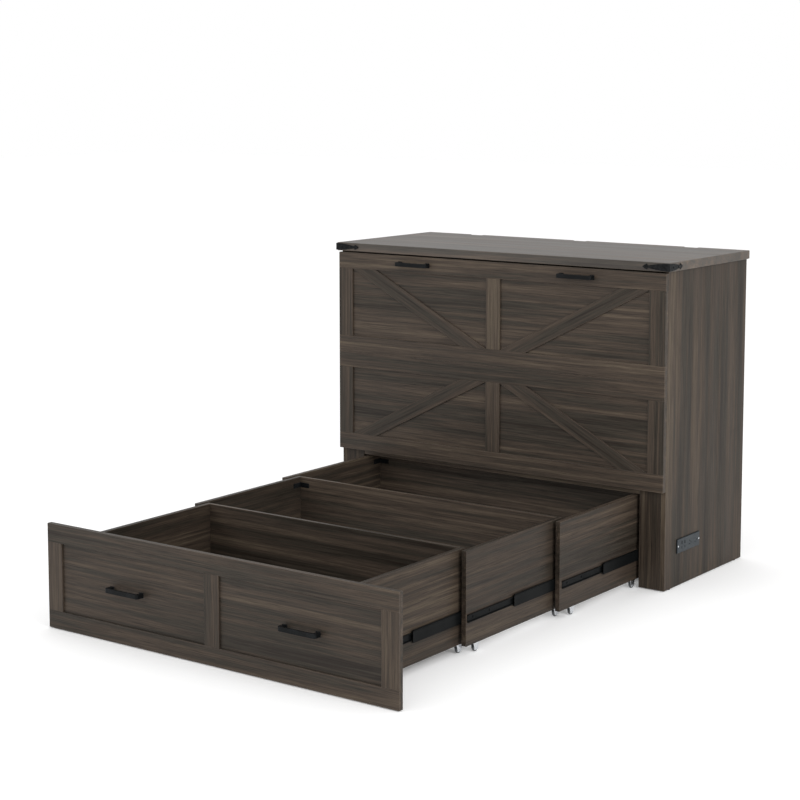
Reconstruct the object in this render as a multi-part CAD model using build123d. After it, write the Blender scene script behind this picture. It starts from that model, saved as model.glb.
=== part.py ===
"""Murphy wall bed: three nested boxes pull out of a cabinet on slides and casters, and its door folds down.

Millimetres. +X is to the right, -Y is to the front, +Z is up. Sizes are worked out with y = 0 at the
cabinet's front plane, and every shape is moved back by FRAME_SHIFT as it is written, so that the origin is
the middle of the floor area that the bed takes with its boxes pulled out.
"""

from build123d import *
import math
import os

# --- cabinet ---
CABINET_WIDTH = 1467.0
CABINET_DEPTH = 620.0
SIDE_TOP = 1165.0
GLIDE_HEIGHT = 3.0
BOARD = 18.0
POST_WIDTH = 87.5
BACK_THICKNESS = 5.0
DECK_TOP = 384.0
RAIL_HEIGHT = 18.0
RAIL_DEPTH = 18.0
TOP_RAIL_HEIGHT = 100.0
ARRIS = 0.8
CUT = 1.0

# --- lid ---
LID_THICKNESS = 32.5
LID_SIDE_OVERHANG = 11.6
LID_FRONT_OVERHANG = 20.0
LID_ARRIS = 1.5
LID_RELIEF = 1.0
LID_RELIEF_DEPTH = 12.0

# --- door and foot panel ---
DOOR_FRONT = -22.0
DOOR_BACK = -2.0
DOOR_BOTTOM = 368.0
DOOR_TOP = 1160.0
DOOR_WIDTH = 1468.0
TRIM = 7.0
STILE = 66.0
DOOR_TOP_RAIL = 63.0
DOOR_BOTTOM_RAIL = 65.0
MIDDLE_RAIL_LOW = 701.0
MIDDLE_RAIL_SEAM = 764.0
MIDDLE_RAIL_HIGH = 827.0
MULLION = 62.0
BRACE_CUT = 116.0
FOOT_WIDTH = 1380.0
FOOT_TOP = 1157.5
FOOT_BOTTOM = 388.0
DOOR_PIVOT_Y = -12.0
DOOR_PIVOT_Z = 374.0
FOOT_PIVOT_Y = -1.0
FOOT_PIVOT_Z = 1161.0
LID_PIVOT_Y = 614.0
LID_PIVOT_Z = 1191.5

# --- boxes, in their pushed-in places ---
TRAVEL = 532.7
BOX_TOP = 344.6
BOX_BOTTOM = 30.0
SLIDE_GAP = 13.0
BOX_BACK_THICKNESS = 12.0
FRONT_BOX_Y = (-3.0, 583.0)
MIDDLE_BOX_Y = (12.4, 597.4)
REAR_BOX_Y = (2.7, 611.0)
DRAWER_FRONT_BOTTOM = 3.0
DRAWER_FRONT_TOP = 361.6
DRAWER_FRONT_THICKNESS = 19.0
DRAWER_TOP_RAIL = 63.0
DRAWER_BOTTOM_RAIL = 61.0
BOTTOM_PANEL_Z = (48.0, 57.0)

# --- slides ---
SLIDE_START = 17.4
SLIDE_LENGTH = 558.0
SLIDE_Z = 122.0
SLIDE_WALL = 1.4
CHANNEL_HALF = 22.0
MIDDLE_HALF = 17.5
RAIL_HALF = 12.5

# --- casters ---
WHEEL_RADIUS = 11.0
WHEEL_WIDTH = 8.0
AXLE_RADIUS = 1.5
AXLE_END = 1.0
AXLE_CLEARANCE = 0.05
CHEEK_THICKNESS = 1.2
CHEEK_GAP = 10.4

# --- handles ---
HANDLE_LENGTH = 148.0
HANDLE_REACH = 30.0
HANDLE_TALL = 15.0
HANDLE_THICK = 9.0
HANDLE_FOOT = 18.0
HANDLE_FOOT_THICKNESS = 3.5
HANDLE_LEG = 11.0
HANDLE_CORNER = 9.0

# --- lid corner brackets ---
BRACKET_THICKNESS = 3.0
BRACKET_FRONT_ARM = 108.0
BRACKET_SIDE_ARM = 94.0

# --- power outlet ---
OUTLET_Y = (88.0, 264.0)
OUTLET_Z = (123.0, 178.0)

# --- worked out ---
HALF = CABINET_WIDTH / 2
SIDE_INNER = HALF - BOARD
RUNNER_FACE = SIDE_INNER - POST_WIDTH
REAR_BOX_X = RUNNER_FACE - SLIDE_GAP
MIDDLE_BOX_X = REAR_BOX_X - BOARD - SLIDE_GAP
FRONT_BOX_X = MIDDLE_BOX_X - BOARD - SLIDE_GAP
DECK_UNDERSIDE = DECK_TOP - BOARD
HANDLE_X = CABINET_WIDTH / 4
HANDLE_FRONT = DOOR_FRONT - 3 * TRAVEL - HANDLE_REACH
FRAME_SHIFT = -(HANDLE_FRONT + CABINET_DEPTH) / 2
REAR_OUT = -TRAVEL
MIDDLE_OUT = -2 * TRAVEL
FRONT_OUT = -3 * TRAVEL


# --- helpers ---
def block(x, y, z):
    """A plain board or bar between the low and high values given along each axis."""
    size = (x[1] - x[0], y[1] - y[0], z[1] - z[0])
    middle = ((x[0] + x[1]) / 2, (y[0] + y[1]) / 2, (z[0] + z[1]) / 2)
    return Pos(*middle) * Box(*size)


def board(x, y, z, arris=ARRIS):
    """A board with its edges eased."""
    plain = block(x, y, z)
    return chamfer(plain.edges(), arris)


def rod(start, end, radius):
    """A round bar from start to end."""
    span = Vector(*end) - Vector(*start)
    standing = Cylinder(radius, span.length, align=(Align.CENTER, Align.CENTER, Align.MIN))
    return Plane(origin=start, z_dir=span) * standing


def bore_along_y(x, y, z, radius):
    """The tool for a round hole through a board that lies between two depths."""
    return rod((x, y[0] - CUT, z), (x, y[1] + CUT, z), radius)


def slab(points, plane, thickness):
    """A flat plate with the outline given on a plane, grown along the plane's normal."""
    outline = plane * make_face(Polyline(*points, close=True))
    return extrude(outline, abs(thickness), dir=plane.z_dir * math.copysign(1, thickness))


def centred(middle, size):
    """The low and high ends of a size about its middle."""
    return (middle - size / 2, middle + size / 2)


def shifted(y, by):
    return (y[0] + by, y[1] + by)


def mirrored(shape):
    return mirror(shape, about=Plane.YZ)


def pair(shape):
    """The shape and its mirror image on the bed's other side."""
    return [shape, mirrored(shape)]


def save(node, solids):
    group = Compound(children=[Pos(0, FRAME_SHIFT, 0) * solid for solid in solids])
    export_step(group, f"parts/{node}.step")


# --- cabinet ---
SCREW_HOLE_X = 400.0
SCREW_HOLE_Z = 1100.0
SCREW_HOLE_RADIUS = 3.0
HINGE_HALF = 30.0
LID_HINGE_X = (-500.0, 0.0, 500.0)
LID_NOTCH_Y = 600.0
LEAF = 3.0
LEAF_HEIGHT = 45.0
DECK_FRONT = 2.0
REAR_RAIL_Y = 560.0
INNER_PANEL_SETBACK = 24.0
OUTLET_CUT_Y = 12.0
OUTLET_CUT_Z = 8.0
GLIDE_Y = (45.0, 570.0)
GLIDE_RADIUS = 8.5
GROMMET_X = 681.0
GROMMET_Z = 150.0
GROMMET_RADIUS = 18.0
GROMMET_BORE = 15.0
GROMMET_LIP = 23.0
GROMMET_LIP_THICKNESS = 2.0


def side_panel_left():
    return board((-HALF, -SIDE_INNER), (0, CABINET_DEPTH), (GLIDE_HEIGHT, SIDE_TOP))


def side_panel_right():
    panel = mirrored(side_panel_left())
    y = (OUTLET_Y[0] + OUTLET_CUT_Y, OUTLET_Y[1] - OUTLET_CUT_Y)
    z = (OUTLET_Z[0] + OUTLET_CUT_Z, OUTLET_Z[1] - OUTLET_CUT_Z)
    return panel - block((SIDE_INNER - CUT, HALF + CUT), y, z)


def front_posts():
    return pair(board((RUNNER_FACE, SIDE_INNER), (0, BOARD), (GLIDE_HEIGHT, DECK_UNDERSIDE)))


def inner_panels():
    """The two upright boards that carry the rear box's slides."""
    x = (RUNNER_FACE, RUNNER_FACE + BOARD)
    return pair(board(x, (BOARD, CABINET_DEPTH - INNER_PANEL_SETBACK), (GLIDE_HEIGHT, DECK_UNDERSIDE)))


def back_panel():
    y = (CABINET_DEPTH - BACK_THICKNESS, CABINET_DEPTH)
    panel = block((-SIDE_INNER, SIDE_INNER), y, (GLIDE_HEIGHT, SIDE_TOP))
    for x in (-SCREW_HOLE_X, SCREW_HOLE_X):
        panel -= bore_along_y(x, y, SCREW_HOLE_Z, SCREW_HOLE_RADIUS)
    return panel - bore_along_y(GROMMET_X, y, GROMMET_Z, GROMMET_RADIUS)


def cord_grommet():
    """The ring that a cord leaves through, flush with the back panel and with a lip inside it."""
    inside = CABINET_DEPTH - BACK_THICKNESS - GROMMET_LIP_THICKNESS
    lip_end = inside + GROMMET_LIP_THICKNESS
    ring = rod((GROMMET_X, inside, GROMMET_Z), (GROMMET_X, CABINET_DEPTH, GROMMET_Z), GROMMET_RADIUS)
    ring += rod((GROMMET_X, inside, GROMMET_Z), (GROMMET_X, lip_end, GROMMET_Z), GROMMET_LIP)
    return ring - bore_along_y(GROMMET_X, (inside, CABINET_DEPTH), GROMMET_Z, GROMMET_BORE)


def deck_panel():
    """The shelf that the folded mattress stands on."""
    y = (DECK_FRONT, CABINET_DEPTH - BACK_THICKNESS)
    return board((-SIDE_INNER, SIDE_INNER), y, (DECK_UNDERSIDE, DECK_TOP))


def deck_rails():
    z = (DECK_UNDERSIDE - RAIL_HEIGHT, DECK_UNDERSIDE)
    front = board((-RUNNER_FACE, RUNNER_FACE), (DECK_FRONT, DECK_FRONT + RAIL_DEPTH), z)
    rear = board((-RUNNER_FACE, RUNNER_FACE), (REAR_RAIL_Y, REAR_RAIL_Y + RAIL_DEPTH), z)
    return [front, rear]


def rear_top_rail():
    """The board across the back that the lid's hinges and the wall screws go into."""
    y = (CABINET_DEPTH - BACK_THICKNESS - BOARD, CABINET_DEPTH - BACK_THICKNESS)
    rail = block((-SIDE_INNER, SIDE_INNER), y, (SIDE_TOP - TOP_RAIL_HEIGHT, SIDE_TOP))
    for x in (-SCREW_HOLE_X, SCREW_HOLE_X):
        rail -= bore_along_y(x, y, SCREW_HOLE_Z, SCREW_HOLE_RADIUS)
    for x in LID_HINGE_X:
        span = (x - HINGE_HALF, x + HINGE_HALF)
        rail -= block(span, (y[1] - LEAF, y[1] + CUT), (SIDE_TOP - LEAF_HEIGHT, SIDE_TOP + CUT))
    return rail


def floor_glides():
    glides = []
    for x in (HALF - BOARD / 2, RUNNER_FACE + BOARD / 2):
        for y in GLIDE_Y:
            pad = rod((x, y, 0), (x, y, GLIDE_HEIGHT), GLIDE_RADIUS)
            glides += pair(chamfer(pad.edges().group_by(Axis.Z)[0], ARRIS))
    return glides


# --- power outlet ---
OUTLET_CORNER = 4.0
OUTLET_RIM = 1.5
OUTLET_FACE = 3.0
OUTLET_INSET = 2.0
OUTLET_BODY_DEPTH = 34.0
TRAY_GAP = 0.5
OUTLET_SCREW_INSET = 8.0
OUTLET_SCREW_RADIUS = 3.2
OUTLET_SCREW_HEAD = 1.2
OUTLET_MIDDLE = sum(OUTLET_Z) / 2
BLADE_SPACING = 12.7
BLADE_SIZE = (8.4, 2.2)
EARTH_OFFSET = 11.0
EARTH_RADIUS = 2.4
SOCKET_Y = (184.0, 226.0)
USB_Y = (124.0, 147.0)
WIDE_PORT = (6.6, 3.0, 16.0)
SMALL_PORT = (3.2, -13.0, -4.0)
TONGUE = 2.0


def outlet_body():
    """The black tray behind the outlet's face: a rim on the panel and a box through its cut-out."""
    rim = block((HALF, HALF + OUTLET_RIM), OUTLET_Y, OUTLET_Z)
    rim = fillet(rim.edges().filter_by(Axis.X), OUTLET_CORNER)
    inset_y = OUTLET_CUT_Y + TRAY_GAP
    inset_z = OUTLET_CUT_Z + TRAY_GAP
    y = (OUTLET_Y[0] + inset_y, OUTLET_Y[1] - inset_y)
    z = (OUTLET_Z[0] + inset_z, OUTLET_Z[1] - inset_z)
    return rim + block((HALF - OUTLET_BODY_DEPTH, HALF), y, z)


def socket_cuts(y, x):
    """Two blade slots and a round earth hole, in a generic three-pin layout."""
    length, width = BLADE_SIZE
    heights = centred(OUTLET_MIDDLE, BLADE_SPACING)
    blades = [block(x, centred(y, length), centred(z, width)) for z in heights]
    earth_y = y + EARTH_OFFSET
    return blades + [rod((x[0], earth_y, OUTLET_MIDDLE), (x[1], earth_y, OUTLET_MIDDLE), EARTH_RADIUS)]


def port_cuts(y, x):
    """A wide and a small charging port, one above the other."""
    cuts = []
    for width, low, high in (WIDE_PORT, SMALL_PORT):
        cuts.append(block(x, centred(y, width), (OUTLET_MIDDLE + low, OUTLET_MIDDLE + high)))
    return cuts


def outlet_faceplate():
    x = (HALF + OUTLET_RIM, HALF + OUTLET_RIM + OUTLET_FACE)
    y = (OUTLET_Y[0] + OUTLET_INSET, OUTLET_Y[1] - OUTLET_INSET)
    z = (OUTLET_Z[0] + OUTLET_INSET, OUTLET_Z[1] - OUTLET_INSET)
    plate = fillet(block(x, y, z).edges().filter_by(Axis.X), OUTLET_CORNER - 1)
    plate = chamfer(plate.faces().sort_by(Axis.X)[-1].edges(), ARRIS)
    through = (x[0] - CUT, x[1] + CUT)
    cuts = [cut for place in SOCKET_Y for cut in socket_cuts(place, through)]
    cuts += [cut for place in USB_Y for cut in port_cuts(place, through)]
    for cut in cuts:
        plate -= cut
    return plate


def outlet_tongues():
    """The contact tongues inside the charging ports, in the plane of the face."""
    x = (HALF + OUTLET_RIM, HALF + OUTLET_RIM + TONGUE)
    z = (OUTLET_MIDDLE + WIDE_PORT[1] + CUT, OUTLET_MIDDLE + WIDE_PORT[2] - CUT)
    return [block(x, centred(y, TONGUE), z) for y in USB_Y]


def outlet_screws():
    x = HALF + OUTLET_RIM + OUTLET_FACE
    screws = []
    for y in (OUTLET_Y[0] + OUTLET_SCREW_INSET, OUTLET_Y[1] - OUTLET_SCREW_INSET):
        head = rod((x, y, OUTLET_MIDDLE), (x + OUTLET_SCREW_HEAD, y, OUTLET_MIDDLE), OUTLET_SCREW_RADIUS)
        head = chamfer(head.faces().sort_by(Axis.X)[-1].edges(), OUTLET_SCREW_HEAD / 2)
        slot = (x + OUTLET_SCREW_HEAD / 2, x + OUTLET_SCREW_HEAD + CUT)
        screws.append(head - block(slot, centred(y, 3 * OUTLET_SCREW_RADIUS), centred(OUTLET_MIDDLE, 1.0)))
    return screws


# --- hinges and catches ---
KNUCKLE = 4.5
PIN = 2.0
PIN_CLEARANCE = 0.05
KNUCKLE_HALF = 10.0
KNUCKLE_GAP = 0.2
ARM_START = 11.0
STRAP_HALF = 9.5
PLATE_HALF = 28.0
ARM_HALF_THICKNESS = 1.5
DOOR_LEAF_Y = (-17.0, -15.2)
DECK_LEAF_Y = (0.5, 2.0)
POCKET_ROOM = 2.0
POCKET_HEIGHT = 16.0
DOOR_LEAF_RISE = 15.0
FOOT_LEAF_LOW = 40.0
FOOT_LEAF_HIGH = 2.5
DOOR_HINGE_X = (-560.0, -190.0, 190.0, 560.0)
FOOT_HINGE_X = (-510.0, -170.0, 170.0, 510.0)
SMALL_KNUCKLE = 3.0
SMALL_PIN = 1.5
SMALL_LEAF = 0.9
CATCH_Z = 1140.0
CATCH_HEIGHT = 24.0
CATCH_WIDTH = 17.0
CATCH_DEPTH = 22.0
CATCH_GAP = 0.5
MAGNET_INSET = 4.0
KEEPER = 1.2


def outer_knuckles(x, y, z, radius, pin):
    """A hinge's two outer knuckles with the pin fixed through them."""
    inner = KNUCKLE_HALF + KNUCKLE_GAP
    tubes = [rod((x + inner * s, y, z), (x + HINGE_HALF * s, y, z), radius) for s in (-1, 1)]
    shaft = rod((x - HINGE_HALF, y, z), (x + HINGE_HALF, y, z), pin)
    return tubes[0] + tubes[1] + shaft


def middle_knuckle(x, y, z, radius, pin):
    tube = rod((x - KNUCKLE_HALF, y, z), (x + KNUCKLE_HALF, y, z), radius)
    return tube - rod((x - HINGE_HALF, y, z), (x + HINGE_HALF, y, z), pin + PIN_CLEARANCE)


def middle_bore(x, y, z, radius):
    """The room that a leaf's own plate leaves for the outer knuckles' pin."""
    return rod((x - HINGE_HALF, y, z), (x + HINGE_HALF, y, z), radius + PIN_CLEARANCE)


def arm_span(x, side):
    """The width of one of a leaf's two arms, beside the middle knuckle."""
    return tuple(sorted((x + ARM_START * side, x + HINGE_HALF * side)))


def lid_hinge_base(x):
    y = (CABINET_DEPTH - BACK_THICKNESS - LEAF, CABINET_DEPTH - BACK_THICKNESS)
    leaf = block((x - HINGE_HALF, x + HINGE_HALF), y, (SIDE_TOP - LEAF_HEIGHT, LID_PIVOT_Z - KNUCKLE))
    arms = [block(arm_span(x, side), y, (SIDE_TOP, LID_PIVOT_Z)) for side in (-1, 1)]
    return leaf + arms[0] + arms[1] + outer_knuckles(x, LID_PIVOT_Y, LID_PIVOT_Z, KNUCKLE, PIN)


def arm_z(pivot):
    return (pivot - ARM_HALF_THICKNESS, pivot + ARM_HALF_THICKNESS)


def lid_hinge_leaf(x):
    plate_y = (LID_NOTCH_Y, LID_NOTCH_Y + PIN)
    plate = block((x - PLATE_HALF, x + PLATE_HALF), plate_y, (SIDE_TOP + PIN, LID_PIVOT_Z + LEAF))
    strap = block((x - STRAP_HALF, x + STRAP_HALF), (plate_y[0] + CUT, LID_PIVOT_Y), arm_z(LID_PIVOT_Z))
    strap -= middle_bore(x, LID_PIVOT_Y, LID_PIVOT_Z, PIN)
    return plate + strap + middle_knuckle(x, LID_PIVOT_Y, LID_PIVOT_Z, KNUCKLE, PIN)


def door_hinge_base(x):
    """Fixed on the deck's front edge, with an arm that carries the knuckles into the door."""
    plate = block((x - HINGE_HALF, x + HINGE_HALF), DECK_LEAF_Y, (DECK_UNDERSIDE + CUT, DECK_TOP))
    base = plate + outer_knuckles(x, DOOR_PIVOT_Y, DOOR_PIVOT_Z, KNUCKLE, PIN)
    for side in (-1, 1):
        base += block(arm_span(x, side), (DOOR_PIVOT_Y, DECK_LEAF_Y[0] + 0.5), arm_z(DOOR_PIVOT_Z))
    return base


def door_hinge_leaf(x):
    """Fixed in the door's bottom edge behind its face."""
    high = DOOR_PIVOT_Z + DOOR_LEAF_RISE
    middle = DOOR_PIVOT_Z + DOOR_LEAF_RISE / 2
    plate = block((x - PLATE_HALF, x + PLATE_HALF), DOOR_LEAF_Y, (middle, high))
    strap = block((x - STRAP_HALF, x + STRAP_HALF), DOOR_LEAF_Y, (DOOR_PIVOT_Z, middle + CUT))
    return plate + strap + middle_knuckle(x, DOOR_PIVOT_Y, DOOR_PIVOT_Z, KNUCKLE, PIN)


def foot_hinge_base(x):
    """The leaf on the door's back, at its top edge."""
    y = (DOOR_BACK, DOOR_BACK + SMALL_LEAF)
    plate = block((x - HINGE_HALF, x + HINGE_HALF), y, (DOOR_TOP - FOOT_LEAF_LOW, DOOR_TOP - FOOT_LEAF_HIGH))
    base = plate + outer_knuckles(x, FOOT_PIVOT_Y, FOOT_PIVOT_Z, SMALL_KNUCKLE, SMALL_PIN)
    for side in (-1, 1):
        base += block(arm_span(x, side), y, (DOOR_TOP - SMALL_KNUCKLE, FOOT_PIVOT_Z))
    return base


def foot_hinge_leaf(x):
    """The leaf on the foot panel's front, at its top edge."""
    y = (-SMALL_LEAF, 0.0)
    plate = block((x - HINGE_HALF, x + HINGE_HALF), y, (DOOR_TOP - FOOT_LEAF_LOW, DOOR_TOP - FOOT_LEAF_HIGH))
    strap = block((x - STRAP_HALF, x + STRAP_HALF), y, (DOOR_TOP - SMALL_KNUCKLE, FOOT_PIVOT_Z))
    strap -= middle_bore(x, FOOT_PIVOT_Y, FOOT_PIVOT_Z, SMALL_PIN)
    return plate + strap + middle_knuckle(x, FOOT_PIVOT_Y, FOOT_PIVOT_Z, SMALL_KNUCKLE, SMALL_PIN)


def door_catches():
    """Magnet blocks inside the side panels, at the door's top corners."""
    z = centred(CATCH_Z, CATCH_HEIGHT)
    body = board((SIDE_INNER - CATCH_WIDTH, SIDE_INNER), (CATCH_GAP, CATCH_DEPTH), z)
    magnet_x = (SIDE_INNER - CATCH_WIDTH + MAGNET_INSET, SIDE_INNER - MAGNET_INSET)
    magnet_z = centred(CATCH_Z, CATCH_HEIGHT - 2 * MAGNET_INSET)
    magnet = block(magnet_x, (CATCH_GAP - ARRIS, CATCH_GAP), magnet_z)
    return pair(body + magnet)


def door_catch_plates():
    x = (SIDE_INNER - CATCH_WIDTH + MAGNET_INSET / 2, SIDE_INNER - MAGNET_INSET / 2)
    z = centred(CATCH_Z, CATCH_HEIGHT - MAGNET_INSET)
    return pair(block(x, (DOOR_BACK, DOOR_BACK + KEEPER), z))


def pocket_span(x):
    """The width of the pocket that a hinge sits in."""
    return (x - HINGE_HALF - POCKET_ROOM, x + HINGE_HALF + POCKET_ROOM)


# --- lid ---
BRACKET_HALF = 13.5
BRACKET_SCREWS = (26.0, 64.0)
BRACKET_HEAD = (4.0, 1.6)
SUNK = 0.4


def lid_panel():
    """The lid, notched for its hinges and relieved under its rear edge, which swings down as it opens."""
    x = HALF + LID_SIDE_OVERHANG
    z = (SIDE_TOP, SIDE_TOP + LID_THICKNESS)
    panel = board((-x, x), (-LID_FRONT_OVERHANG, CABINET_DEPTH), z, LID_ARRIS)
    for hinge in LID_HINGE_X:
        span = pocket_span(hinge)
        panel -= block(span, (LID_NOTCH_Y, CABINET_DEPTH + CUT), (z[0] - CUT, z[1] + CUT))
    relief_y = (CABINET_DEPTH - LID_RELIEF_DEPTH, CABINET_DEPTH + CUT)
    return panel - block((-x - CUT, x + CUT), relief_y, (z[0] - CUT, z[0] + LID_RELIEF))


def spear_outline(reach):
    """Half-heights along a bracket arm: a leaf that narrows to a neck and ends in a spear tip."""
    leaf = [(0, BRACKET_HALF), (reach * 0.22, 13.0), (reach * 0.44, 10.5)]
    neck = [(reach * 0.62, 7.5), (reach * 0.76, 5.0)]
    tip = [(reach * 0.81, 4.8), (reach * 0.835, 10.5), (reach * 0.90, 7.5), (reach, 0.0)]
    upper = leaf + neck + tip
    lower = [(along, -half) for along, half in reversed(upper[:-1])]
    return upper + lower


def lid_corner_bracket():
    corner_x = HALF + LID_SIDE_OVERHANG
    middle = SIDE_TOP + LID_THICKNESS / 2
    front = Plane(origin=(corner_x, -LID_FRONT_OVERHANG, middle), x_dir=(-1, 0, 0), z_dir=(0, -1, 0))
    side = Plane(origin=(corner_x, -LID_FRONT_OVERHANG, middle), x_dir=(0, 1, 0), z_dir=(1, 0, 0))
    arms = [
        slab([(a, -h) for a, h in spear_outline(BRACKET_FRONT_ARM)], front, BRACKET_THICKNESS),
        slab([(a, h) for a, h in spear_outline(BRACKET_SIDE_ARM)], side, BRACKET_THICKNESS),
    ]
    edge = block(
        (corner_x, corner_x + BRACKET_THICKNESS),
        (-LID_FRONT_OVERHANG - BRACKET_THICKNESS, -LID_FRONT_OVERHANG),
        (middle - BRACKET_HALF, middle + BRACKET_HALF),
    )
    bracket = arms[0] + arms[1] + edge
    face_y = -LID_FRONT_OVERHANG - BRACKET_THICKNESS
    face_x = corner_x + BRACKET_THICKNESS
    for along in BRACKET_SCREWS:
        bracket += dome((corner_x - along, face_y, middle), (0, -1, 0), *BRACKET_HEAD)
        bracket += dome((face_x, along - LID_FRONT_OVERHANG, middle), (1, 0, 0), *BRACKET_HEAD)
    return bracket


def dome(place, way, radius, height):
    """A low round fastener head standing on a face, sunk a little into it."""
    start = Vector(*place) - Vector(*way) * SUNK
    end = Vector(*place) + Vector(*way) * height
    head = rod(tuple(start), tuple(end), radius)
    rim = head.edges().filter_by(GeomType.CIRCLE).sort_by(Axis(place, way))[-1]
    return fillet(rim, height * 0.7)


# --- door ---
def door_panel():
    """The board behind the door's trim, with pockets for its hinges."""
    y = (DOOR_FRONT + TRIM, DOOR_BACK)
    panel = board((-DOOR_WIDTH / 2, DOOR_WIDTH / 2), y, (DOOR_BOTTOM, DOOR_TOP))
    pocket_z = (DOOR_BOTTOM - CUT, DOOR_PIVOT_Z + POCKET_HEIGHT)
    for x in DOOR_HINGE_X:
        panel -= block(pocket_span(x), (y[0] - CUT, y[1] + CUT), pocket_z)
    knuckle_y = (DOOR_BACK - SMALL_KNUCKLE, DOOR_BACK + CUT)
    for x in FOOT_HINGE_X:
        panel -= block(pocket_span(x), knuckle_y, (DOOR_TOP - SMALL_KNUCKLE, DOOR_TOP + CUT))
    return panel


def door_stiles():
    """The uprights between the rails: two at the ends and one in the middle, in each half of the door."""
    y = (DOOR_FRONT, DOOR_FRONT + TRIM)
    end = (DOOR_WIDTH / 2 - STILE, DOOR_WIDTH / 2)
    upper = (MIDDLE_RAIL_HIGH, DOOR_TOP - DOOR_TOP_RAIL)
    lower = (DOOR_BOTTOM + DOOR_BOTTOM_RAIL, MIDDLE_RAIL_LOW)
    stiles = []
    for z in (lower, upper):
        stiles += pair(board(end, y, z)) + [board(centred(0, MULLION), y, z)]
    return stiles


def door_rails():
    """The rails, each as wide as the door; the middle one is two boards that meet at a seam."""
    y = (DOOR_FRONT, DOOR_FRONT + TRIM)
    heights = [
        (DOOR_BOTTOM, DOOR_BOTTOM + DOOR_BOTTOM_RAIL),
        (MIDDLE_RAIL_LOW, MIDDLE_RAIL_SEAM),
        (MIDDLE_RAIL_SEAM, MIDDLE_RAIL_HIGH),
        (DOOR_TOP - DOOR_TOP_RAIL, DOOR_TOP),
    ]
    rails = [board(centred(0, DOOR_WIDTH), y, z) for z in heights]
    pocket_y = (DOOR_LEAF_Y[0] - KNUCKLE_GAP, DOOR_BACK)
    for x in DOOR_HINGE_X:
        rails[0] -= block(pocket_span(x), pocket_y, (DOOR_BOTTOM - CUT, DOOR_PIVOT_Z + POCKET_HEIGHT))
    return rails


def brace(low, high, lean):
    """A slanted board from the mullion's foot, or its head, to the opposite corner of the panel."""
    inner = MULLION / 2
    outer = DOOR_WIDTH / 2 - STILE
    near, far = (low, high) if lean > 0 else (high, low)
    points = [(inner, near), (inner + BRACE_CUT, near), (outer, far), (outer - BRACE_CUT, far)]
    front = Plane(origin=(0, DOOR_FRONT, 0), x_dir=(1, 0, 0), z_dir=(0, -1, 0))
    plain = slab(points, front, ARRIS - TRIM)
    return Pos(0, ARRIS, 0) * chamfer(plain.faces().sort_by(Axis.Y)[0].edges(), ARRIS)


def door_braces():
    upper = brace(MIDDLE_RAIL_HIGH, DOOR_TOP - DOOR_TOP_RAIL, 1)
    lower = brace(DOOR_BOTTOM + DOOR_BOTTOM_RAIL, MIDDLE_RAIL_LOW, -1)
    return pair(upper) + pair(lower)


def handle(x, face, z):
    """A square bar pull with rounded corners, standing on two feet."""
    outer = block(centred(x, HANDLE_LENGTH), (face - HANDLE_REACH, face), centred(z, HANDLE_TALL))
    outer = fillet(outer.edges().filter_by(Axis.Z).group_by(Axis.Y)[0], HANDLE_CORNER)
    grip_y = (face - HANDLE_REACH + HANDLE_THICK, face + CUT)
    inner = block(centred(x, HANDLE_LENGTH - 2 * HANDLE_LEG), grip_y, centred(z, 2 * HANDLE_TALL))
    inner = fillet(inner.edges().filter_by(Axis.Z).group_by(Axis.Y)[0], HANDLE_CORNER / 2)
    pull = outer - inner
    pull = chamfer(pull.faces().sort_by(Axis.Y)[0].edges(), ARRIS)
    for middle in centred(x, HANDLE_LENGTH - HANDLE_FOOT):
        foot_y = (face - HANDLE_FOOT_THICKNESS, face)
        pull += board(centred(middle, HANDLE_FOOT), foot_y, centred(z, HANDLE_FOOT), ARRIS)
    return pull


def door_handles():
    return [handle(x, DOOR_FRONT, DOOR_TOP - DOOR_TOP_RAIL / 2) for x in (-HANDLE_X, HANDLE_X)]


def foot_panel():
    """The second half of the bed's platform, stored behind the door."""
    x = FOOT_WIDTH / 2
    return board((-x, x), (0, BOARD), (FOOT_BOTTOM, FOOT_TOP))


# --- boxes ---
CASTER_INSETS = {"front_box": (64.0, 25.0), "middle_box": (64.0, 25.0), "rear_box": (89.0, 92.0)}
CORNER_BRACE_ARM = 42.0
CORNER_BRACE_Z = (306.0, 324.0)
CORNER_BRACE_THICKNESS = 1.2
CORNER_BRACE_SCREW = 32.0
SCREW_HEAD = (3.5, 1.4)
CASTER_PLATE = (17.0, 34.0, 2.0)
CHEEK_TOP = 30.0
CHEEK_FOOT = 18.0
CHEEK_LOW = 5.5
WHEEL_EDGE = 1.8


def box_sides(outer_x, y, out):
    return pair(board((outer_x - BOARD, outer_x), shifted(y, out), (BOX_BOTTOM, BOX_TOP)))


def box_back(outer_x, y, out):
    x = outer_x - BOARD
    span = (y[1] - BOX_BACK_THICKNESS, y[1])
    return board((-x, x), shifted(span, out), (BOX_BOTTOM, BOX_TOP))


def box_bottom(outer_x, y, out):
    x = outer_x - BOARD
    return block((-x, x), shifted((y[0], y[1] - BOX_BACK_THICKNESS), out), BOTTOM_PANEL_Z)


def corner_braces(outer_x, y, out):
    """An angle plate in each rear corner, near the top edge."""
    x = outer_x - BOARD
    rear = y[1] - BOX_BACK_THICKNESS + out
    thick = CORNER_BRACE_THICKNESS
    along_back = block((x - CORNER_BRACE_ARM, x), (rear - thick, rear), CORNER_BRACE_Z)
    along_side = block((x - thick, x), (rear - CORNER_BRACE_ARM, rear), CORNER_BRACE_Z)
    angle = along_back + along_side
    middle = sum(CORNER_BRACE_Z) / 2
    return pair(angle + dome((x - thick, rear - CORNER_BRACE_SCREW, middle), (-1, 0, 0), *SCREW_HEAD))


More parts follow.
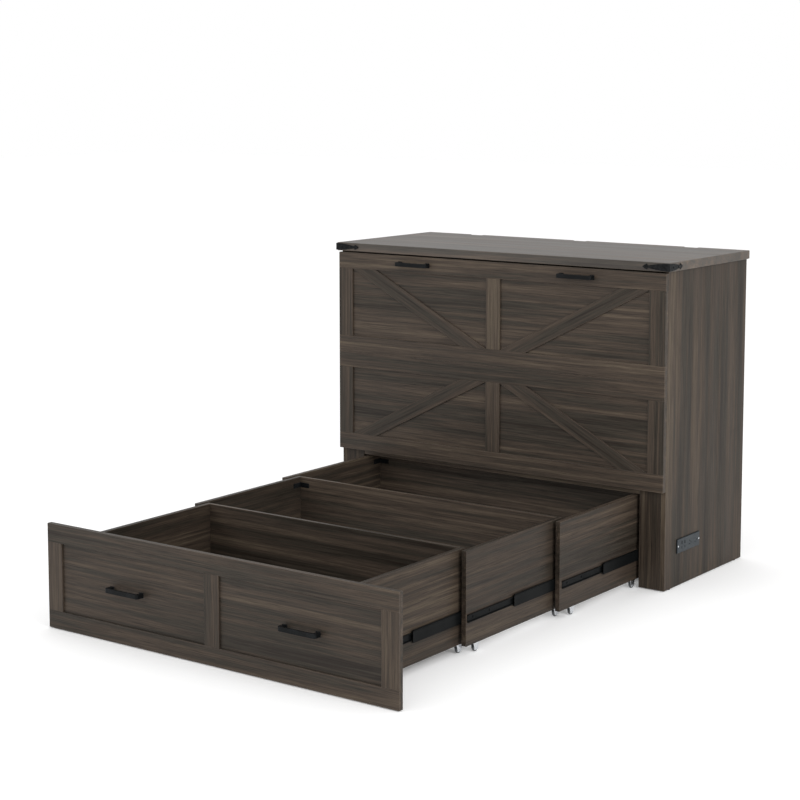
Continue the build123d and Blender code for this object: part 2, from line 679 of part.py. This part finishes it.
def caster_fork(x, y):
    """A rigid caster's fork: a top plate, two tapered cheeks and the axle between them."""
    width, length, thick = CASTER_PLATE
    plate = block(centred(x, width), centred(y, length), (BOX_BOTTOM - thick, BOX_BOTTOM))
    fork = fillet(plate.edges().filter_by(Axis.Z), 2 * thick)
    high = [(along, BOX_BOTTOM - thick) for along in centred(0, CHEEK_TOP)]
    low = [(along, CHEEK_LOW) for along in reversed(centred(0, CHEEK_FOOT))]
    outline = high + low
    for side in (-1, 1):
        near = CHEEK_GAP / 2 if side > 0 else -CHEEK_GAP / 2 - CHEEK_THICKNESS
        sheet = Plane(origin=(x + near, y, 0), x_dir=(0, 1, 0), z_dir=(1, 0, 0))
        fork += slab(outline, sheet, CHEEK_THICKNESS)
    reach = CHEEK_GAP / 2 + CHEEK_THICKNESS + AXLE_END
    return fork + rod((x - reach, y, WHEEL_RADIUS), (x + reach, y, WHEEL_RADIUS), AXLE_RADIUS)


def caster_places(name, y, out):
    """Y of a box's front and rear wheels."""
    front, rear = CASTER_INSETS[name]
    return (y[0] + front + out, y[1] - rear + out)


def caster_forks(outer_x, places):
    forks = []
    for place in places:
        forks += pair(caster_fork(outer_x - BOARD / 2, place))
    return forks


def wheel(x, y):
    half = WHEEL_WIDTH / 2
    disc = rod((x - half, y, WHEEL_RADIUS), (x + half, y, WHEEL_RADIUS), WHEEL_RADIUS)
    disc = fillet(disc.edges(), WHEEL_EDGE)
    bore = AXLE_RADIUS + AXLE_CLEARANCE
    return disc - rod((x - half - CUT, y, WHEEL_RADIUS), (x + half + CUT, y, WHEEL_RADIUS), bore)


# --- slides ---
CHANNEL_DEPTH = 10.0
MIDDLE_SETBACK = 3.2
MIDDLE_DEPTH = 7.2
RAIL_DEPTH_OUT = 6.5
STRIP_WIDTH = 5.0
STRIP_INSET = 6.0
OUTER_STRIP = (18.3, 20.2, 9.5)
INNER_STRIP = (13.0, 15.6, 10.6)
CLIP_LENGTH = 8.0
CLIP_HEIGHT = 2.0
RAIL_SCREWS = (34.0, 130.0, 300.0, 470.0)
RAIL_SCREW_HEAD = (4.0, 1.8)


def slide_span(out):
    return (SLIDE_START + out, SLIDE_START + SLIDE_LENGTH + out)


def channel(x, half, depth, y):
    """A C-shaped member: a web at x, and lips that reach towards the bed's middle, or away if depth < 0."""
    wall = math.copysign(SLIDE_WALL, depth)
    web = tuple(sorted((x, x - wall)))
    lips = tuple(sorted((x, x - depth)))
    shape = block(web, y, (SLIDE_Z - half, SLIDE_Z + half))
    for side in (-1, 1):
        edge = tuple(sorted((SLIDE_Z + side * half, SLIDE_Z + side * (half - SLIDE_WALL))))
        shape += block(lips, y, edge)
    return shape


def slide_channel(face, out):
    """The outer member, on the inside of the carrying panel."""
    return pair(channel(face, CHANNEL_HALF, CHANNEL_DEPTH, slide_span(out)))


def slide_middle(face, out):
    """The member between, with the ball strips that run in the outer member's and the rail's lips."""
    y = slide_span(out)
    member = channel(face - MIDDLE_SETBACK, MIDDLE_HALF, MIDDLE_DEPTH, y)
    inset = (y[0] + STRIP_INSET, y[1] - STRIP_INSET)
    for low, high, depth in (OUTER_STRIP, INNER_STRIP):
        x = face - depth
        for side in (-1, 1):
            z = tuple(sorted((SLIDE_Z + side * low, SLIDE_Z + side * high)))
            member += block((x, x + STRIP_WIDTH), inset, z)
            member += joining_clip(x, inset, side, high)
    return pair(member)


def joining_clip(x, y, side, high):
    """Short clips that hold a ball strip to its member."""
    low = MIDDLE_HALF - CUT
    if high < MIDDLE_HALF:
        low = MIDDLE_HALF - CLIP_HEIGHT - CUT / 2
    z = tuple(sorted((SLIDE_Z + side * low, SLIDE_Z + side * (low + CLIP_HEIGHT))))
    clip_x = (x + CUT, x + STRIP_WIDTH - CUT)
    clips = block(clip_x, (y[0], y[0] + CLIP_LENGTH), z)
    return clips + block(clip_x, (y[1] - CLIP_LENGTH, y[1]), z)


def slide_rail(face, out):
    """The inner member, on the outside of the box, with its screw heads."""
    y = slide_span(out)
    member = channel(face, RAIL_HALF, -RAIL_DEPTH_OUT, y)
    for along in RAIL_SCREWS:
        member += dome((face + SLIDE_WALL, y[0] + along, SLIDE_Z), (1, 0, 0), *RAIL_SCREW_HEAD)
    return pair(member)


# --- drawer front ---
def drawer_y():
    return shifted((FRONT_BOX_Y[0] - DRAWER_FRONT_THICKNESS, FRONT_BOX_Y[0]), FRONT_OUT)


def drawer_front_panel():
    y = drawer_y()
    return board((-HALF, HALF), (y[0] + TRIM, y[1]), (DRAWER_FRONT_BOTTOM, DRAWER_FRONT_TOP))


def drawer_trim_y():
    return (drawer_y()[0], drawer_y()[0] + TRIM)


def drawer_front_rails():
    low = (DRAWER_FRONT_BOTTOM, DRAWER_FRONT_BOTTOM + DRAWER_BOTTOM_RAIL)
    high = (DRAWER_FRONT_TOP - DRAWER_TOP_RAIL, DRAWER_FRONT_TOP)
    return [board((-HALF, HALF), drawer_trim_y(), z) for z in (low, high)]


def drawer_front_stiles():
    """The three uprights between the rails."""
    z = (DRAWER_FRONT_BOTTOM + DRAWER_BOTTOM_RAIL, DRAWER_FRONT_TOP - DRAWER_TOP_RAIL)
    ends = board((HALF - STILE, HALF), drawer_trim_y(), z)
    return pair(ends) + [board(centred(0, MULLION), drawer_trim_y(), z)]


def drawer_handles():
    middle = (DRAWER_FRONT_BOTTOM + DRAWER_FRONT_TOP) / 2
    return [handle(x, drawer_y()[0], middle) for x in (-HANDLE_X, HANDLE_X)]


# --- writing the nodes ---
def write_cabinet():
    save("side_panel_left", [side_panel_left()])
    save("side_panel_right", [side_panel_right()])
    save("front_posts", front_posts())
    save("inner_panels", inner_panels())
    save("back_panel", [back_panel()])
    save("cord_grommet", [cord_grommet()])
    save("deck_panel", [deck_panel()])
    save("deck_rails", deck_rails())
    save("rear_top_rail", [rear_top_rail()])
    save("floor_glides", floor_glides())
    save("outlet_body", [outlet_body()] + outlet_tongues())
    save("outlet_faceplate", [outlet_faceplate()])
    save("outlet_screws", outlet_screws())
    save("cabinet_slide_channels", slide_channel(RUNNER_FACE, 0.0))
    save("lid_hinge_bases", [lid_hinge_base(x) for x in LID_HINGE_X])
    save("door_hinge_bases", [door_hinge_base(x) for x in DOOR_HINGE_X])
    save("door_catches", door_catches())


def write_lid_and_door():
    save("lid_panel", [lid_panel()])
    save("lid_corner_brackets", pair(lid_corner_bracket()))
    save("lid_hinge_leaves", [lid_hinge_leaf(x) for x in LID_HINGE_X])
    save("door_panel", [door_panel()])
    save("door_stiles", door_stiles())
    save("door_rails", door_rails())
    save("door_braces", door_braces())
    save("door_handles", door_handles())
    save("door_hinge_leaves", [door_hinge_leaf(x) for x in DOOR_HINGE_X])
    save("door_catch_plates", door_catch_plates())
    save("foot_hinge_bases", [foot_hinge_base(x) for x in FOOT_HINGE_X])
    save("foot_panel", [foot_panel()])
    save("foot_hinge_leaves", [foot_hinge_leaf(x) for x in FOOT_HINGE_X])


def write_box(name, outer_x, y, out):
    """What all three boxes have: sides, a back, casters and the slide rails outside."""
    save(f"{name}_sides", box_sides(outer_x, y, out))
    save(f"{name}_back", [box_back(outer_x, y, out)])
    save(f"{name}_slide_rails", slide_rail(outer_x, out))
    save(f"{name}_slide_middles", slide_middle(outer_x + SLIDE_GAP, out + TRAVEL / 2))
    places = caster_places(name, y, out)
    save(f"{name}_caster_forks", caster_forks(outer_x, places))
    for end, place in zip(("front", "rear"), places):
        save(f"{name}_{end}_wheels", pair(wheel(outer_x - BOARD / 2, place)))


def write_boxes():
    write_box("rear_box", REAR_BOX_X, REAR_BOX_Y, REAR_OUT)
    save("rear_box_slide_channels", slide_channel(REAR_BOX_X - BOARD, REAR_OUT))
    save("rear_box_corner_braces", corner_braces(REAR_BOX_X, REAR_BOX_Y, REAR_OUT))
    write_box("middle_box", MIDDLE_BOX_X, MIDDLE_BOX_Y, MIDDLE_OUT)
    save("middle_box_slide_channels", slide_channel(MIDDLE_BOX_X - BOARD, MIDDLE_OUT))
    save("middle_box_corner_braces", corner_braces(MIDDLE_BOX_X, MIDDLE_BOX_Y, MIDDLE_OUT))
    write_box("front_box", FRONT_BOX_X, FRONT_BOX_Y, FRONT_OUT)
    save("front_box_bottom", [box_bottom(FRONT_BOX_X, FRONT_BOX_Y, FRONT_OUT)])
    save("drawer_front_panel", [drawer_front_panel()])
    save("drawer_front_rails", drawer_front_rails())
    save("drawer_front_stiles", drawer_front_stiles())
    save("drawer_handles", drawer_handles())


os.makedirs("parts", exist_ok=True)
write_cabinet()
write_lid_and_door()
write_boxes()
print("FRAME_SHIFT", FRAME_SHIFT, "boxes at x", REAR_BOX_X, MIDDLE_BOX_X, FRONT_BOX_X)
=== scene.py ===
"""Looks for the murphy wall bed: woodgrain laminate, black hardware and a plain studio."""

import math

import bpy
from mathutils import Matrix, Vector


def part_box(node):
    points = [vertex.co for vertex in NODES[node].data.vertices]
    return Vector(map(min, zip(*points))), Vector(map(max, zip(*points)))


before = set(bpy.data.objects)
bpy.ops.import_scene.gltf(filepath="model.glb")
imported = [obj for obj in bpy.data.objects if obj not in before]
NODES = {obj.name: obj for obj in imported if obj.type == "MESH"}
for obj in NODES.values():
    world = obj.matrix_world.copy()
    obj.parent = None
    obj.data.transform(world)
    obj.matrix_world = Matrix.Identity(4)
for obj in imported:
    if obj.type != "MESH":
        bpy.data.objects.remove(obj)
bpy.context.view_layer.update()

# Places and sizes in metres.
CABINET_FRONT_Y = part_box("side_panel_right")[0].y
DOOR_SEAM_Z = 0.764
BRACE_RUN = 0.521
BRACE_RISE = 0.270
# Widths of the painted highlights along the edges of the wood and of the metal.
WOOD_HIGHLIGHT_WIDTH = 0.002
METAL_HIGHLIGHT_WIDTH = 0.0008

# The camera's place is taken from the floor, midway between the side panels' front edges.
# Its angles are in degrees, its lens and sensor in millimetres, and its shift is a part of
# the frame's width.
CAMERA_PLACE = (3.9068, -5.9519, 1.8418)
CAMERA_AZIMUTH = 36.2
CAMERA_PITCH = 6.64
CAMERA_LENS = 85.18
CAMERA_SENSOR = 36.0
CAMERA_SHIFT = -0.125
CAMERA_REACH = 200.0

# Each light's place, the side of its square, and its power in watts.
LIGHTS = {
    "key": ((6.0, -1.5, 3.5), 3.0, 160.0),
    "fill": ((-4.0, -5.0, 4.0), 4.0, 60.0),
}
LIT_POINT = (0.0, 0.2, 0.6)
WORLD_STRENGTH = 1.0
FLOOR_SIZE = 60.0
FLOOR_GLOW = 0.12
WHITE = (1.0, 1.0, 1.0, 1.0)
FLOOR_WHITE = (0.93, 0.93, 0.93, 1.0)

# Laminate colours as linear RGB, from the darkest streak to the lightest, then the painted
# highlight on the edges.
# Each streak colour has its place on the ramp.
WOOD_TONES = [
    (0.38, (0.021, 0.0145, 0.0105)),
    (0.45, (0.036, 0.030, 0.0225)),
    (0.50, (0.048, 0.0355, 0.0265)),
    (0.55, (0.063, 0.046, 0.0335)),
    (0.64, (0.100, 0.077, 0.054)),
]
WOOD_EDGE_HIGHLIGHT = (0.150, 0.122, 0.098)
BRACE_SEED = 41
BACK_SEED = 31

# The other colours, as linear RGB.
COAT_BLACK = (0.005, 0.0055, 0.006)
# The colour of the painted highlight on the coating's edges.
COAT_EDGE_HIGHLIGHT = (0.05, 0.05, 0.052)
IRON_DARK = (0.004, 0.0045, 0.005)
IRON_LIGHT = (0.013, 0.014, 0.015)
SLIDE_DARK = (0.002, 0.0024, 0.0026)
SLIDE_LIGHT = (0.006, 0.0068, 0.007)
ZINC_LIGHT = (0.78, 0.80, 0.82)
ZINC_DARK = (0.58, 0.60, 0.63)
RUBBER_GREY = (0.085, 0.088, 0.090)
PLASTIC_BLACK = (0.003, 0.003, 0.0033)
PLASTIC_SLATE = (0.018, 0.023, 0.027)


# --- node helpers ---
class Graph:
    """A short way to write a material's nodes."""

    def __init__(self, name):
        self.material = bpy.data.materials.new(name)
        self.material.use_nodes = True
        self.tree = self.material.node_tree
        self.tree.nodes.clear()
        output = self.tree.nodes.new("ShaderNodeOutputMaterial")
        self.shader = self.tree.nodes.new("ShaderNodeBsdfPrincipled")
        self.link(self.shader.outputs["BSDF"], output.inputs["Surface"])

    def link(self, source, target):
        self.tree.links.new(source, target)

    def add(self, kind, **settings):
        node = self.tree.nodes.new(kind)
        for key, value in settings.items():
            setattr(node, key, value)
        return node

    def put(self, node, socket, value):
        """Sets a socket, or links it when the value is an output."""
        if isinstance(value, bpy.types.NodeSocket):
            self.link(value, node.inputs[socket])
        else:
            node.inputs[socket].default_value = value

    def folded(self):
        """Object coordinates, the door's quarters folded onto one so the braces lie one way."""
        apart = self.add("ShaderNodeSeparateXYZ")
        self.put(apart, "Vector", self.add("ShaderNodeTexCoord").outputs["Object"])
        joined = self.add("ShaderNodeCombineXYZ")
        self.put(joined, "X", self.math("ABSOLUTE", apart.outputs["X"], 0.0))
        self.put(joined, "Y", apart.outputs["Y"])
        height = self.math("SUBTRACT", apart.outputs["Z"], DOOR_SEAM_Z)
        self.put(joined, "Z", self.math("ABSOLUTE", height, 0.0))
        return joined.outputs["Vector"]

    def place(self, turn=(0, 0, 0), scale=(1, 1, 1), shift=(0, 0, 0), source=None):
        """Object coordinates, or another source, turned and shifted, then stretched."""
        source = source or self.add("ShaderNodeTexCoord").outputs["Object"]
        turned = self.add("ShaderNodeMapping")
        self.put(turned, "Vector", source)
        self.put(turned, "Rotation", turn)
        self.put(turned, "Location", shift)
        stretched = self.add("ShaderNodeMapping")
        self.put(stretched, "Vector", turned.outputs["Vector"])
        self.put(stretched, "Scale", scale)
        return stretched.outputs["Vector"]

    def noise(self, vector, detail=4.0, roughness=0.55, distortion=0.0, scale=1.0):
        node = self.add("ShaderNodeTexNoise")
        self.put(node, "Vector", vector)
        self.put(node, "Scale", scale)
        self.put(node, "Detail", detail)
        self.put(node, "Roughness", roughness)
        self.put(node, "Distortion", distortion)
        return node.outputs["Fac"]

    def math(self, operation, a, b):
        node = self.add("ShaderNodeMath", operation=operation)
        self.put(node, 0, a)
        self.put(node, 1, b)
        return node.outputs["Value"]

    def remap(self, value, low, high, to_low=0.0, to_high=1.0):
        node = self.add("ShaderNodeMapRange", interpolation_type="SMOOTHSTEP")
        self.put(node, "Value", value)
        self.put(node, "From Min", low)
        self.put(node, "From Max", high)
        self.put(node, "To Min", to_low)
        self.put(node, "To Max", to_high)
        return node.outputs["Result"]

    def ramp(self, value, stops):
        node = self.add("ShaderNodeValToRGB")
        elements = node.color_ramp.elements
        while len(elements) < len(stops):
            elements.new(0.5)
        for element, (position, colour) in zip(elements, stops):
            element.position = position
            element.color = (*colour, 1.0)
        self.put(node, "Fac", value)
        return node.outputs["Color"]

    def mix(self, factor, a, b):
        """Mixes two colours, each an output or three numbers."""
        node = self.add("ShaderNodeMix", data_type="RGBA")
        self.put(node, "Factor", factor)
        self.put(node, "A", a if isinstance(a, bpy.types.NodeSocket) else (*a, 1.0))
        self.put(node, "B", b if isinstance(b, bpy.types.NodeSocket) else (*b, 1.0))
        return node.outputs["Result"]

    def bump(self, height, distance, strength):
        node = self.add("ShaderNodeBump")
        self.put(node, "Height", height)
        self.put(node, "Distance", distance)
        self.put(node, "Strength", strength)
        return node.outputs["Normal"]

    def painted_edge_highlight(self, width, amount):
        """A painted highlight: up to amount on sharp edges, broken up by noise."""
        bevel = self.add("ShaderNodeBevel", samples=4)
        self.put(bevel, "Radius", width)
        agreement = self.add("ShaderNodeVectorMath", operation="DOT_PRODUCT")
        self.put(agreement, 0, bevel.outputs["Normal"])
        self.put(agreement, 1, self.add("ShaderNodeNewGeometry").outputs["Normal"])
        edge = self.remap(agreement.outputs["Value"], 0.80, 0.99, amount, 0.0)
        breaks = self.remap(self.noise(self.place(), scale=55.0), 0.30, 0.60)
        return self.math("MULTIPLY", edge, breaks)


# --- materials ---
def laminate(name, axis, seed, painted_light=1.0, sheen=0.2, slanted=False):
    """Dark woodgrain laminate: broad bands of tone, streaks, fine fibres and a few dark pores."""
    g = Graph(name)
    # The seed gives each node its own place in the noise.
    shift = (seed * 3.17 % 7, seed * 1.93 % 5, seed * 2.71 % 6)
    source = g.folded() if slanted else g.add("ShaderNodeTexCoord").outputs["Object"]
    turn = (0, math.atan2(BRACE_RISE, BRACE_RUN), 0) if slanted else (0, 0, 0)

    def grain(along, across):
        """Coordinates stretched by one scale along the grain and another across it."""
        scale = tuple(along if part == axis else across for part in "XYZ")
        return g.place(turn, scale, shift, source)

    tone = g.noise(grain(0.5, 11.0), detail=3, roughness=0.55, distortion=0.15)
    streak = g.noise(grain(1.3, 62.0), detail=6, roughness=0.66, distortion=0.2)
    fibre = g.noise(grain(6.0, 420.0), detail=4, roughness=0.7)
    pores = g.noise(grain(11.0, 620.0), detail=2, roughness=0.5)
    tones = g.math("ADD", g.math("MULTIPLY", tone, 0.42), g.math("MULTIPLY", streak, 0.58))
    colour = g.ramp(tones, WOOD_TONES)
    fine = g.remap(fibre, 0.32, 0.68, 0.68, 1.28)
    pore = g.remap(pores, 0.58, 0.70, 1.0, 0.50)
    # The whole board's colour is scaled by its painted light and shade, one factor per board.
    level = g.math("MULTIPLY", g.math("MULTIPLY", fine, pore), painted_light)
    scaled = g.add("ShaderNodeVectorMath", operation="SCALE")
    g.put(scaled, 0, colour)
    g.put(scaled, "Scale", level)
    # A painted highlight along the board's sharp edges.
    edge_highlight = g.painted_edge_highlight(WOOD_HIGHLIGHT_WIDTH, 0.65)
    g.put(g.shader, "Base Color", g.mix(edge_highlight, scaled.outputs["Vector"], WOOD_EDGE_HIGHLIGHT))
    g.put(g.shader, "Roughness", g.remap(streak, 0.3, 0.7, 0.42, 0.56))
    g.put(g.shader, "Specular IOR Level", sheen)
    relief = g.math("SUBTRACT", g.math("MULTIPLY", fibre, 0.6), g.math("MULTIPLY", pores, 0.4))
    g.put(g.shader, "Normal", g.bump(relief, 0.0004, 0.55))
    return g.material


def powder_coat(name):
    """Satin black coating with a fine orange-peel surface and rubbed patches."""
    g = Graph(name)
    peel = g.noise(g.place(), scale=900.0, detail=3)
    patches = g.noise(g.place(), scale=28.0, detail=4)
    body = g.mix(g.remap(patches, 0.35, 0.75), COAT_BLACK, tuple(c * 2.2 for c in COAT_BLACK))
    # A painted highlight along the coating's sharp edges.
    g.put(g.shader, "Base Color", g.mix(g.painted_edge_highlight(METAL_HIGHLIGHT_WIDTH, 0.5), body, COAT_EDGE_HIGHLIGHT))
    g.put(g.shader, "Roughness", g.remap(patches, 0.3, 0.7, 0.36, 0.50))
    g.put(g.shader, "Normal", g.bump(peel, 0.0002, 0.5))
    g.put(g.shader, "Specular IOR Level", 0.08)
    return g.material


def forged_black(name):
    """Hammered black iron for the lid's corner brackets."""
    g = Graph(name)
    dents = g.add("ShaderNodeTexVoronoi", feature="SMOOTH_F1")
    g.put(dents, "Vector", g.place())
    g.put(dents, "Scale", 140.0)
    grit = g.noise(g.place(), scale=700.0, detail=3)
    tone = g.remap(dents.outputs["Distance"], 0.1, 0.8)
    g.put(g.shader, "Base Color", g.mix(tone, IRON_DARK, IRON_LIGHT))
    g.put(g.shader, "Roughness", g.remap(grit, 0.3, 0.7, 0.38, 0.55))
    g.put(g.shader, "Specular IOR Level", 0.08)
    g.put(g.shader, "Normal", g.bump(dents.outputs["Distance"], 0.0012, 0.6))
    return g.material


def slide_steel(name):
    """Black zinc-plated sheet steel, drawn along its length."""
    g = Graph(name)
    drawn = g.noise(g.place(scale=(600, 6, 600)), detail=4, roughness=0.6)
    film = g.noise(g.place(), scale=16.0, detail=4)
    g.put(g.shader, "Base Color", g.mix(drawn, SLIDE_DARK, SLIDE_LIGHT))
    g.put(g.shader, "Roughness", g.remap(film, 0.3, 0.7, 0.30, 0.44))
    g.put(g.shader, "Specular IOR Level", 0.05)
    g.put(g.shader, "Normal", g.bump(drawn, 0.0002, 0.5))
    return g.material


def bright_zinc(name):
    """Bright zinc plate with a faint spangle and fine scratches."""
    g = Graph(name)
    spangle = g.add("ShaderNodeTexVoronoi")
    g.put(spangle, "Vector", g.place())
    g.put(spangle, "Scale", 320.0)
    scratch = g.noise(g.place(scale=(900, 60, 200)), detail=3)
    tone = g.remap(spangle.outputs["Distance"], 0.0, 0.9)
    g.put(g.shader, "Base Color", g.mix(tone, ZINC_LIGHT, ZINC_DARK))
    g.put(g.shader, "Roughness", g.remap(scratch, 0.3, 0.7, 0.18, 0.36))
    g.put(g.shader, "Metallic", 1.0)
    g.put(g.shader, "Normal", g.bump(scratch, 0.0001, 0.4))
    return g.material


def moulded(name, colour, roughness):
    """Moulded plastic or rubber with a fine spark-eroded grain."""
    g = Graph(name)
    texture = g.noise(g.place(), scale=1400.0, detail=2)
    haze = g.noise(g.place(), scale=45.0, detail=4)
    g.put(g.shader, "Base Color", g.mix(haze, colour, tuple(c * 1.5 for c in colour)))
    g.put(g.shader, "Roughness", g.remap(haze, 0.3, 0.7, roughness - 0.06, roughness + 0.08))
    g.put(g.shader, "Specular IOR Level", 0.2)
    g.put(g.shader, "Normal", g.bump(texture, 0.00015, 0.5))
    return g.material


def dress(node, material):
    """Gives a CAD node one material on every slot."""
    slots = NODES[node].material_slots
    if not slots:
        NODES[node].data.materials.append(material)
    for slot in slots:
        slot.link = "OBJECT"
        slot.material = material


# The axis each board's grain runs along.
GRAIN = {
    "side_panel_left": "Z",
    "side_panel_right": "Z",
    "front_posts": "Z",
    "door_stiles": "Z",
    "door_rails": "X",
    "door_panel": "X",
    "drawer_front_panel": "X",
    "lid_panel": "X",
    "foot_panel": "X",
    "inner_panels": "Y",
    "deck_panel": "X",
    "deck_rails": "X",
    "rear_top_rail": "X",
    "front_box_sides": "Y",
    "middle_box_sides": "Y",
    "rear_box_sides": "Y",
    "front_box_back": "X",
    "middle_box_back": "X",
    "rear_box_back": "X",
    "front_box_bottom": "X",
    "drawer_front_rails": "X",
    "drawer_front_stiles": "Z",
}
# Painted light and sheen, where a board isn't like the rest: the first number scales the board's
# colour as painted light and shade.
PAINTED_LIGHT_AND_SHEEN = {
    "lid_panel": (1.25, 0.5),
    "side_panel_right": (0.86, 0.12),
    "side_panel_left": (0.86, 0.12),
    "front_box_sides": (0.76, 0.12),
    "drawer_front_panel": (0.88, 0.2),
    "drawer_front_rails": (0.95, 0.2),
    "drawer_front_stiles": (0.9, 0.2),
    "middle_box_sides": (0.74, 0.15),
    "rear_box_sides": (0.82, 0.15),
    "front_posts": (0.7, 0.15),
}


def dress_wood():
    for seed, (node, axis) in enumerate(GRAIN.items(), 1):
        dress(node, laminate(f"laminate_{node}", axis, seed, *PAINTED_LIGHT_AND_SHEEN.get(node, ())))
    dress("door_braces", laminate("laminate_door_braces", "X", BRACE_SEED, slanted=True))
    # The back panel's colour is painted a little darker, as painted shade.
    dress("back_panel", laminate("printed_hardboard", "Z", BACK_SEED, painted_light=0.9))


def dress_hardware():
    coat = powder_coat("black_powder_coat")
    iron = forged_black("forged_black_iron")
    steel = slide_steel("black_slide_steel")
    zinc = bright_zinc("bright_zinc")
    rubber = moulded("wheel_rubber", RUBBER_GREY, 0.42)
    black = moulded("black_plastic", PLASTIC_BLACK, 0.48)
    grey = moulded("slate_grey_plastic", PLASTIC_SLATE, 0.40)
    chosen = {
        "lid_corner_brackets": iron,
        "outlet_faceplate": grey,
        "outlet_body": black,
        "outlet_screws": zinc,
        "door_catch_plates": zinc,
        "door_catches": black,
        "floor_glides": black,
        "cord_grommet": black,
    }
    for node in NODES:
        if node in GRAIN or node in ("back_panel", "door_braces"):
            continue
        if node in chosen:
            dress(node, chosen[node])
        elif "slide" in node:
            dress(node, steel)
        elif node.endswith("wheels"):
            dress(node, rubber)
        elif node.endswith("forks"):
            dress(node, zinc)
        else:
            dress(node, coat)


# --- studio ---
def floor():
    bpy.ops.mesh.primitive_plane_add(size=FLOOR_SIZE)
    plane = bpy.context.object
    plane.name = "studio_floor"
    g = Graph("studio_floor")
    g.put(g.shader, "Base Color", FLOOR_WHITE)
    g.put(g.shader, "Roughness", 0.9)
    g.put(g.shader, "Specular IOR Level", 0.1)
    g.put(g.shader, "Emission Color", WHITE)
    g.put(g.shader, "Emission Strength", FLOOR_GLOW)
    plane.data.materials.append(g.material)


def area_light(name, place, size, power):
    """A square light turned towards the bed."""
    light = bpy.data.lights.new(name, "AREA")
    light.shape = "SQUARE"
    light.size = size
    light.energy = power
    lamp = bpy.data.objects.new(name, light)
    lamp.location = place
    way = Vector(LIT_POINT) - Vector(place)
    lamp.rotation_euler = way.to_track_quat("-Z", "Y").to_euler()
    bpy.context.scene.collection.objects.link(lamp)


def lights():
    world = bpy.data.worlds.new("studio")
    world.use_nodes = True
    background = world.node_tree.nodes["Background"]
    background.inputs["Color"].default_value = WHITE
    background.inputs["Strength"].default_value = WORLD_STRENGTH
    bpy.context.scene.world = world
    bpy.context.scene.view_settings.view_transform = "Standard"
    for name, settings in LIGHTS.items():
        area_light(name, *settings)


def camera():
    data = bpy.data.cameras.new("camera")
    data.lens = CAMERA_LENS
    data.sensor_width = CAMERA_SENSOR
    data.shift_y = CAMERA_SHIFT
    data.clip_end = CAMERA_REACH
    rig = bpy.data.objects.new("camera", data)
    rig.location = Vector(CAMERA_PLACE) + Vector((0, CABINET_FRONT_Y, 0))
    rig.rotation_euler = (math.radians(90 - CAMERA_PITCH), 0, math.radians(CAMERA_AZIMUTH))
    bpy.context.scene.collection.objects.link(rig)
    bpy.context.scene.camera = rig


camera()
dress_wood()
dress_hardware()
floor()
lights()
